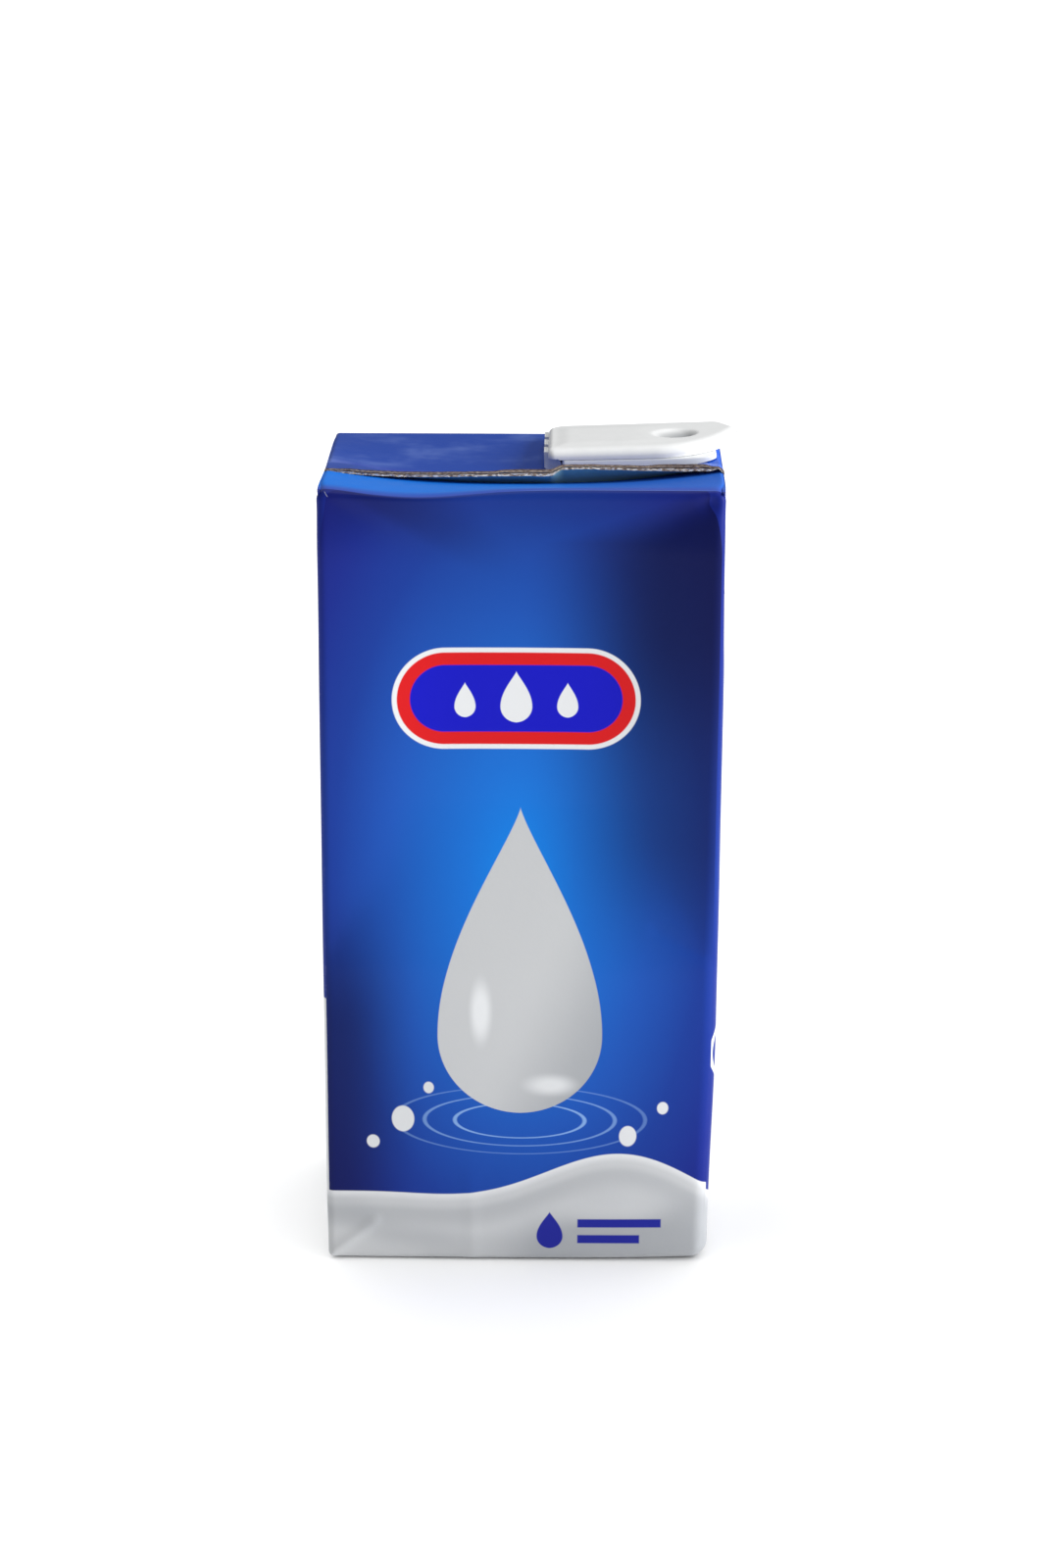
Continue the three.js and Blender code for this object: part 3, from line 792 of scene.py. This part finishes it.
def wear_group():
    """Handling marks of a laminated or moulded surface."""
    wires, source, result = new_group(
        "handling_marks",
        (("Place", "NodeSocketVector"),),
        (("Rubbed Edge", "NodeSocketFloat"), ("Smudge", "NodeSocketFloat"), ("Grain", "NodeSocketFloat")))
    place = source.outputs["Place"]
    x, y, z = wires.split(wires.stretched(place, (1 / MM, 1 / MM, 1 / MM)))
    past_side = wires.minus(wires.size(x), HALF_WIDTH)
    past_front = wires.minus(wires.size(y), HALF_DEPTH)
    past_top = wires.minus(z, HEIGHT)
    upright = wires.least(past_side, past_front)
    rim = wires.least(past_top, wires.most(past_side, past_front))
    edge = wires.most(wires.band(upright, -0.9, 0.3), wires.times(wires.band(rim, -0.9, 0.3), 0.25))
    broken = wires.band(wires.speckle(place, 420.0, 3.0, 0.6), 0.52, 0.7)
    wires.feed(result.inputs["Rubbed Edge"], wires.times(edge, broken))
    cloud = wires.speckle(place, 38.0, 3.0)
    streak = wires.speckle(wires.stretched(place, (260, 260, 22)), 1.0, 2.0)
    smudge = wires.plus(wires.times(cloud, 0.65), wires.times(streak, 0.35))
    wires.feed(result.inputs["Smudge"], wires.band(smudge, 0.3, 0.72))
    grain = wires.plus(
        wires.times(wires.speckle(place, 260.0, 2.0), 0.7),
        wires.times(wires.speckle(place, 1400.0, 2.0), 0.3))
    wires.feed(result.inputs["Grain"], grain)
    return wires.tree


CARTON_PRINT = print_group()
HANDLING_MARKS = wear_group()


def new_material(name):
    material = bpy.data.materials.new(name)
    material.use_nodes = True
    material.node_tree.nodes.clear()
    wires = Wires(material.node_tree)
    shader = wires.add("ShaderNodeBsdfPrincipled")
    output = wires.add("ShaderNodeOutputMaterial")
    wires.feed(output.inputs["Surface"], shader.outputs["BSDF"])
    moved = wires.add("ShaderNodeVectorMath", operation="ADD")
    wires.feed(moved.inputs[0], wires.add("ShaderNodeTexCoord").outputs["Object"])
    moved.inputs[1].default_value = OUTLINE_CENTRE * MM
    return material, wires, shader, moved.outputs[0]


def marks_of(wires, place):
    marks = wires.add("ShaderNodeGroup", node_tree=HANDLING_MARKS)
    wires.feed(marks.inputs["Place"], place)
    return marks


def raise_by(wires, shader, height, distance, strength=1.0):
    bump = wires.add("ShaderNodeBump")
    bump.inputs["Strength"].default_value = strength
    bump.inputs["Distance"].default_value = distance
    wires.feed(bump.inputs["Height"], height)
    wires.feed(shader.inputs["Normal"], bump.outputs["Normal"])


# Printed board, carrying the print group's painted shade, highlights and reflection.
def printed_board(name, fold_shift=0.0, fin_face=0.0):
    material, wires, shader, place = new_material(name)
    picture = wires.add("ShaderNodeGroup", node_tree=CARTON_PRINT)
    wires.feed(picture.inputs["Place"], place)
    picture.inputs["Fold Shift"].default_value = fold_shift
    picture.inputs["Fin Face"].default_value = fin_face
    marks = marks_of(wires, place)
    rubbed = wires.times(marks.outputs["Rubbed Edge"], 0.55)
    colour = wires.paint(rubbed, picture.outputs["Colour"], RUBBED_GREY)
    wires.feed(shader.inputs["Base Color"], colour)
    rough = wires.plus(0.36, wires.times(marks.outputs["Smudge"], 0.12))
    wires.feed(shader.inputs["Roughness"], wires.plus(rough, wires.times(rubbed, 0.3)))
    shader.inputs["Specular IOR Level"].default_value = 0.1
    raise_by(wires, shader, marks.outputs["Grain"], 0.05 * MM)
    return material


def cut_board(name):
    """The raw cut edge of the board, in layers along the fold."""
    material, wires, shader, _ = new_material(name)
    layers = wires.add("ShaderNodeUVMap", uv_map="edge").outputs["UV"]
    _, across, _ = wires.split(layers)
    fibre = wires.speckle(wires.stretched(layers, (150, 5, 1)), 1.0, 3.0, 0.65)
    colour = wires.ramp(fibre, FIBRE_STOPS)
    seam = wires.band(wires.size(wires.minus(across, 0.5)), 0.13, 0.04)
    top_line = wires.band(across, 0.78, 0.92)
    colour = wires.paint(wires.times(wires.most(seam, top_line), 0.6), colour, FIBRE_DARK)
    fleck = wires.band(wires.speckle(wires.stretched(layers, (130, 4, 1)), 1.0, 2.0), 0.46, 0.56)
    fleck = wires.times(fleck, wires.band(across, 0.46, 0.26))
    colour = wires.paint(wires.times(fleck, 0.85), colour, FIBRE_FLECK)
    wires.feed(shader.inputs["Base Color"], colour)
    wires.feed(shader.inputs["Roughness"], wires.plus(0.75, wires.times(fibre, 0.2)))
    raise_by(wires, shader, fibre, 0.12 * MM)
    return material


def moulded_plastic(name, shade):
    material, wires, shader, place = new_material(name)
    marks = marks_of(wires, place)
    tone = wires.paint(wires.times(marks.outputs["Smudge"], 0.6), shade, PLASTIC_SMUDGE)
    # Painted shade in the scoop, darker where the scoop is deeper. Pieces without the attribute get none.
    scoop_shade = wires.add("ShaderNodeAttribute", attribute_name="hollow").outputs["Fac"]
    tone = wires.paint(wires.band(scoop_shade, 0.02, 0.75), tone, PLASTIC_SCOOP_SHADE)
    wires.feed(shader.inputs["Base Color"], tone)
    wires.feed(shader.inputs["Roughness"], wires.plus(0.34, wires.times(marks.outputs["Smudge"], 0.14)))
    shader.inputs["Specular IOR Level"].default_value = 0.4
    raise_by(wires, shader, marks.outputs["Grain"], 0.03 * MM)
    return material


# The fin's upper side shows the print of the back of the top.
FOLDED_OVER = 40.0
FIN_FACE_SHARE = 0.8

carton_only = bpy.data.collections.new("carton_only")
PRINT = printed_board("printed_board")
PRINT_FOLDED = printed_board("printed_board_folded", fold_shift=FOLDED_OVER)
FIN_PRINT = printed_board("printed_board_fin", fin_face=FIN_FACE_SHARE)
CUT_EDGE = cut_board("cut_board_edge")
LID_PLASTIC = moulded_plastic("lid_plastic", ink(246, 247, 247))
BASE_PLASTIC = moulded_plastic("base_plastic", ink(242, 244, 245))


# The carton: body, ears, fin, bottom flaps and back seam.

def body_point(unit):
    return swell(soften(Vector((
        crowded(unit.x * WIDTH, HALF_WIDTH),
        crowded(unit.y * DEPTH, HALF_DEPTH),
        crowded(unit.z * HEIGHT, HEIGHT / 2) + HEIGHT / 2,
    ))))


body = block(GRID)
shape(body, body_point)
make("carton_body", body, "carton", [PRINT])


def ear_point(side):
    low = HEIGHT - EAR_HEIGHT + EAR_TIP_LIFT
    top = HEIGHT - EAR_TOP_DROP

    def where(unit):
        up = unit.z + 0.5
        half = lerp(EAR_TIP_HALF, HALF_DEPTH - TOP_RADIUS, up)
        z = lerp(low, top, up)
        outer = EAR_THICKNESS * smooth_step(HEIGHT - z, 0, EAR_BLEND) + 0.05
        thick = lerp(-LAYER_ROOT, outer, unit.x + 0.5)
        rounded = arch(unit.y * 2, 8) if unit.x > 0 else 1
        x = HALF_WIDTH + (thick if unit.x < 0 else lerp(-LAYER_ROOT / 2, thick, rounded))
        return swell(Vector((side * x, unit.y * 2 * half, z)))

    return where


for side, name in ((-1, "ear_left"), (1, "ear_right")):
    ear = block((1, 48, 36))
    shape(ear, ear_point(side))
    make(name, ear, "carton", [PRINT])


def fin_angle(x):
    rise = math.sin(math.pi / 2 * clamp((x + HALF_WIDTH) / HALF_WIDTH) ** 1.1)
    step = smooth_step(x, *FIN_STEP_SPAN)
    start, end = FIN_FALL_SPAN
    fall = clamp((x - start) / (end - start)) ** 1.5
    return math.radians(FIN_LOW_ANGLE + FIN_RISE * rise + FIN_STEP * step - FIN_FALL * fall)


def fold_line(along):
    """The line along the top and down both ears where the fin stands, and the way it faces."""
    side = math.copysign(1, along)
    reach = HALF_WIDTH + EAR_THICKNESS - FIN_CORNER - FIN_END_INSET
    turn = clamp((abs(along) - reach) / FIN_CORNER, 0, math.pi / 2)
    over = max(0, abs(along) - reach - FIN_CORNER * math.pi / 2)
    x = side * (min(abs(along), reach) + FIN_CORNER * math.sin(turn))
    z = HEIGHT - FIN_CORNER * (1 - math.cos(turn)) - over
    out = FIN_END_INSET * smooth_step(over, 0, FIN_END_BLEND)
    push = (side_push(side, 0, z) + out) * math.sin(turn)
    spot = Vector((x + side * push, 0, z - top_sink(x, 0)))
    facing = Vector((side * math.sin(turn), 0, math.cos(turn)))
    return spot, facing, turn / (math.pi / 2)


def fin_thickness(x):
    """The sealed layers are pressed thin at both ends and gape in two places between."""
    gape = FIN_GAPE * (within(x, *FIN_GAPE_LEFT) + within(x, *FIN_GAPE_RIGHT))
    return lerp(FIN_END_THICKNESS, FIN_THICKNESS, within(x, *FIN_OPEN)) + gape


def fin_point(low, high, ragged, phase):
    half_length = HALF_WIDTH + EAR_THICKNESS + EAR_HEIGHT - FIN_TIP_LIFT

    def where(unit):
        along = unit.x * 2 * half_length
        spot, facing, down = fold_line(along)
        angle = fin_angle(spot.x) * (1 - down)
        share = 1 - (1 - (0.5 - unit.y)) ** 1.6
        torn = noise.noise(Vector((along * 1.7, phase, unit.z))) + 0.6 * noise.noise(
            Vector((along * 4.3, phase + 7, unit.z)))
        reach = lerp(-FIN_ROOT, FIN_HEIGHT, share) + ragged * torn * smooth_step(share, 0.9, 1)
        apart = 0.10 * noise.noise(Vector((along * 0.35, 3, phase))) * smooth_step(share, 0.5, 1)
        thick = fin_thickness(spot.x) * lerp(low, high, unit.z + 0.5)
        lift = thick - lerp(FIN_BITE, EAR_FIN_BITE, down) + apart * (1 - down)
        return spot + facing * (lift * math.cos(angle) + reach * math.sin(angle)) + Vector(
            (0, lift * math.sin(angle) - reach * math.cos(angle), 0))

    return where


def fin_layer(name, low, high, ragged, phase):
    layer = block((420, 12, 3))
    edge_map = layer.loops.layers.uv.new("edge")
    for face in layer.faces:
        spot = face.calc_center_median()
        if spot.y < -0.499 or abs(spot.x) > 0.499:
            face.material_index = 2
        elif spot.z > 0.499:
            face.material_index = 1
        for loop in face.loops:
            loop[edge_map].uv = (loop.vert.co.x + 0.5, lerp(low, high, loop.vert.co.z + 0.5))
    shape(layer, fin_point(low, high, ragged, phase))
    make(name, layer, "carton", [FIN_PRINT, PRINT_FOLDED, CUT_EDGE])


fin_layer("fin_upper", 1 - FIN_LAYER, 1.0, 0.6 * FIN_RAGGED, 1.0)
fin_layer("fin_lower", 0.0, FIN_LAYER, FIN_RAGGED, 5.0)


def flap_point(side):
    def where(unit):
        out = unit.x + 0.5
        x = lerp(FLAP_TIP, FLAP_ROOT, out)
        half = lerp(FLAP_TIP_HALF, FLAP_ROOT_HALF, out)
        return Vector((side * x, unit.y * 2 * half, lerp(0, FOOT + 0.9, unit.z + 0.5)))

    return where


for side, name in ((-1, "foot_flap_left"), (1, "foot_flap_right")):
    flap = block((12, 16, 2))
    shape(flap, flap_point(side))
    make(name, flap, "carton", [PRINT])


def seam_point(unit):
    rounded = arch(unit.x * 2, 8) if unit.y > 0 else 1
    out = lerp(-SEAM_ROOT, SEAM_STEP, (unit.y + 0.5) * rounded)
    z = lerp(SEAM_LOW, SEAM_HIGH, unit.z + 0.5)
    flat = swell(Vector((SEAM_X + unit.x * SEAM_WIDTH, HALF_DEPTH, z)))
    return flat + Vector((0, out, 0))


seam = block((12, 2, 150))
shape(seam, seam_point)
make("back_seam", seam, "carton", [PRINT])


# The closure: base with hinge lugs, and the shut lid.

SEATED = (
    Matrix.Translation(CAP_CENTRE)
    @ Matrix.Rotation(CAP_RISE_BACK, 4, "X")
    @ Matrix.Rotation(-CAP_RISE_RIGHT, 4, "Y"))
LUG_OUTER = CAP_HALF - LUG_INSET - HINGE_LUG / 2
LUG_PLACES = (-LUG_OUTER, 0.0, LUG_OUTER)


def curve_at(points, share):
    """A point on a cubic curve with four control points."""
    rest = 1 - share
    a, b, c, d = points
    return a * rest ** 3 + 3 * b * rest ** 2 * share + 3 * c * rest * share ** 2 + d * share ** 3


def curve_height(across, depth, x):
    """The depth of a curve where it reaches x."""
    low, high = 0.0, 1.0
    for _ in range(24):
        middle = (low + high) / 2
        if curve_at(across, middle) < x:
            low = middle
        else:
            high = middle
    return curve_at(depth, low)


def corner_cut(x, left, radius):
    """How far a rounded corner at the left end stands in from the straight side."""
    into = clamp(left + radius - x, 0, radius)
    return radius - math.sqrt(radius ** 2 - into ** 2)


def base_half(x):
    if x <= CAP_SHOULDER:
        return CAP_HALF - corner_cut(x, BASE_LEFT, BASE_CORNER)
    across = (CAP_SHOULDER, BASE_SHOULDER_PULL, BASE_TIP - BASE_CORNER, BASE_TIP)
    depth = (CAP_HALF, CAP_HALF, 0.8 * CAP_HALF + 0.2 * BASE_NOSE, BASE_NOSE)
    return curve_height(across, depth, x)


def lid_front(x):
    """The long curved side that runs from the shoulder to the tip."""
    if x <= CAP_SHOULDER:
        return corner_cut(x, LID_LEFT, LID_FRONT_CORNER) - CAP_HALF
    across = (CAP_SHOULDER, LID_SHOULDER_PULL, LID_TIP - LID_TIP_PULL[0], LID_TIP)
    depth = (-CAP_HALF, -CAP_HALF, LID_TIP_Y[0] - LID_TIP_PULL[1], LID_TIP_Y[0])
    return curve_height(across, depth, x)


def lid_back(x):
    if x <= LID_BACK_SHOULDER:
        return CAP_HALF - corner_cut(x, LID_LEFT, LID_BACK_CORNER)
    share = (x - LID_BACK_SHOULDER) / (LID_TIP - LID_BACK_SHOULDER)
    return lerp(CAP_HALF, LID_TIP_Y[1], share ** 1.2)


def edge_drop(depth, wide, tall=None):
    """How far a rounded edge falls at a depth in from the outline."""
    tall = wide if tall is None else tall
    into = clamp(1 - depth / wide)
    return tall * (1 - math.sqrt(1 - into * into))


def scoop_depth(x, y):
    """A thumb scoop, deep at its right front end and running out to the left."""
    dx = (x - SCOOP_CENTRE[0]) / SCOOP_HALF[0]
    dy = (y - SCOOP_CENTRE[1]) / SCOOP_HALF[1]
    bowl = 1 - dx * dx - dy * dy
    if bowl <= 0:
        return 0.0
    return SCOOP_DEPTH * smooth_step(bowl, 0, 0.75) * clamp(0.55 + 0.38 * dx - 0.3 * dy)


def lid_top(x, y, front, back):
    slope = (lid_front(x + 0.1) - lid_front(x - 0.1)) / 0.2 if x > CAP_SHOULDER else 0.0
    from_front = (y - front) / math.sqrt(1 + slope * slope)
    inward = min(back - y, x - LID_LEFT, (LID_TIP - x) * 0.75 + LID_TIP_EDGE)
    fall = max(edge_drop(inward, LID_ROUND), edge_drop(from_front, *LID_FRONT_ROUND))
    z = LID_THICKNESS + x * math.sin(LID_WEDGE)
    edge = min(from_front - PLATEAU_BORDER[0], back - y, x - LID_LEFT)
    border = smooth_step(edge, *PLATEAU_BORDER) * (1 - smooth_step(x, *PLATEAU_END))
    return z + PLATEAU * border - scoop_depth(x, y) - fall


def lid_under(x, y):
    z = FIT_GAP + max(0.0, x - LID_UNDERCUT)
    room = HINGE_RADIUS + FIT_GAP
    if x - CAP_LEFT >= room:
        return z
    wide = HINGE_LUG / 2 + FIT_GAP
    if abs(y) < wide or abs(y) > LUG_OUTER - wide:
        z = max(z, math.sqrt(room ** 2 - (x - CAP_LEFT) ** 2) - HINGE_DROP)
    return z


def lid_spot(unit):
    x = lerp(LID_LEFT, LID_TIP, crowded(unit.x * 2, 1.0, CAP_CROWDING) / 2 + 0.5)
    front, back = lid_front(x), lid_back(x)
    return x, lerp(front, back, crowded(unit.y * 2, 1.0, CAP_CROWDING) / 2 + 0.5), front, back


def lid_point(unit):
    x, y, front, back = lid_spot(unit)
    top = lid_top(x, y, front, back)
    under = min(lid_under(x, y), top - LID_TIP_EDGE)
    return SEATED @ Vector((x, y, lerp(under, top, unit.z + 0.5)))


def cut_across(bm, places, half):
    """Grid lines just either side of each place across the closure."""
    for place in places:
        for step in (-0.03, 0.03):
            share = (place + step) / half
            unit = math.copysign(1 - (1 - min(1, abs(share))) ** (1 / CAP_CROWDING), share) / 2
            bmesh.ops.bisect_plane(
                bm, geom=bm.verts[:] + bm.edges[:] + bm.faces[:], dist=1e-6,
                plane_co=(0, unit, 0), plane_no=(0, 1, 0))


lid = block((110, 64, 6))
lug_room = HINGE_LUG / 2 + FIT_GAP
cut_across(lid, (lug_room - LUG_OUTER, -lug_room, lug_room, LUG_OUTER - lug_room), CAP_HALF)
# Each top point's share of the scoop's depth, which the lid's plastic turns into painted shade.
hollow_map = lid.verts.layers.float.new("hollow")
for vert in lid.verts:
    if vert.co.z > 0.49:
        vert[hollow_map] = scoop_depth(*lid_spot(vert.co)[:2]) / SCOOP_DEPTH
shape(lid, lid_point)
make("cap_lid_shell", lid, "cap_lid", [LID_PLASTIC], 50)


def base_point(unit):
    x = lerp(BASE_LEFT, BASE_TIP, crowded(unit.x * 2, 1.0, CAP_CROWDING) / 2 + 0.5)
    half = base_half(x)
    y = crowded(unit.y * 2, 1.0, CAP_CROWDING) * half
    inward = min(half - abs(y), x - BASE_LEFT, BASE_TIP - x)
    top = SEATED @ Vector((x, y, BASE_RISE - edge_drop(inward, BASE_ROUND)))
    rest = HEIGHT - top_sink(top.x, top.y) + FIT_GAP
    return Vector((top.x, top.y, lerp(min(rest, top.z - FIT_GAP), top.z, unit.z + 0.5)))


def lug(place):
    """A quarter round that the lid turns about, standing on the base's left end."""
    bm = block((16, 6, 8))

    def where(unit):
        turn = lerp(-0.25, math.pi / 2, unit.x + 0.5)
        radius = lerp(0.3, HINGE_RADIUS, unit.z + 0.5)
        y = place + crowded(unit.y * 2, 1.0, CAP_CROWDING) * HINGE_LUG / 2
        return SEATED @ Vector((
            CAP_LEFT + radius * math.cos(turn), y, max(-3.2, radius * math.sin(turn) - HINGE_DROP)))

    shape(bm, where)
    return bm


base = block((96, 60, 6))
shape(base, base_point)
for place in LUG_PLACES:
    join(base, lug(place))
make("cap_base_shell", base, "cap_base", [BASE_PLASTIC], 50)


# Studio: pale floor, soft light, camera.

def stage_floor():
    bm = bmesh.new()
    bmesh.ops.create_grid(bm, x_segments=1, y_segments=1, size=12.0)
    mesh = bpy.data.meshes.new("floor")
    bm.to_mesh(mesh)
    bm.free()
    material, wires, shader, place = new_material("floor_paper")
    soft = wires.speckle(place, 3.0)
    wires.feed(shader.inputs["Base Color"], wires.paint(soft, ink(246, 246, 246), ink(250, 250, 250)))
    shader.inputs["Roughness"].default_value = 0.9
    shader.inputs["Specular IOR Level"].default_value = 0.1
    mesh.materials.append(material)
    floor = bpy.data.objects.new("floor", mesh)
    bpy.context.scene.collection.objects.link(floor)
    return floor


def soft_box(name, place, target, size, power, receivers):
    light = bpy.data.lights.new(name, "AREA")
    light.shape = "RECTANGLE"
    light.size, light.size_y = size
    light.energy = power
    lamp = bpy.data.objects.new(name, light)
    lamp.location = place
    lamp.rotation_euler = (Vector(target) - Vector(place)).to_track_quat("-Z", "Y").to_euler()
    lamp.light_linking.receiver_collection = receivers
    bpy.context.scene.collection.objects.link(lamp)


WORLD_LIGHT = 0.31
KEY_POWER = 21.0
OVERHEAD_POWER = 4.0
FLOOR_POWER = 112.0

floor = stage_floor()
world = bpy.data.worlds.new("studio")
bpy.context.scene.world = world
world.use_nodes = True
world.node_tree.nodes["Background"].inputs["Color"].default_value = (1, 1, 1, 1)
world.node_tree.nodes["Background"].inputs["Strength"].default_value = WORLD_LIGHT
floor_only = bpy.data.collections.new("floor_only")
floor_only.objects.link(floor)
soft_box("key", (1.15, -0.3, 0.6), (0, 0, 0.1), (0.9, 0.9), KEY_POWER, carton_only)
soft_box("overhead", (0.1, 0.4, 1.3), (0, 0, 0.18), (0.8, 0.8), OVERHEAD_POWER, carton_only)
soft_box("floor_wash", (0, 1.0, 0.7), (0, 1.0, 0), (6.0, 5.2), FLOOR_POWER, floor_only)

CAMERA_PLACE = Vector((0.0131138, -0.7581053, 0.3657778)) - OUTLINE_CENTRE * MM
CAMERA_PITCH = 0.3273891
CAMERA_YAW = 0.0173325
CAMERA_ROLL = 0.0016272
LENS = 78.776

camera_data = bpy.data.cameras.new("camera")
camera_data.sensor_width = 36
camera_data.lens = LENS
camera_data.clip_start = 0.01
camera_data.clip_end = 50
camera = bpy.data.objects.new("camera", camera_data)
camera.matrix_world = (
    Matrix.Translation(CAMERA_PLACE)
    @ Matrix.Rotation(CAMERA_YAW, 4, "Z")
    @ Matrix.Rotation(math.pi / 2 - CAMERA_PITCH, 4, "X")
    @ Matrix.Rotation(CAMERA_ROLL, 4, "Z"))
bpy.context.scene.collection.objects.link(camera)
bpy.context.scene.camera = camera
bpy.context.scene.view_settings.view_transform = "Standard"
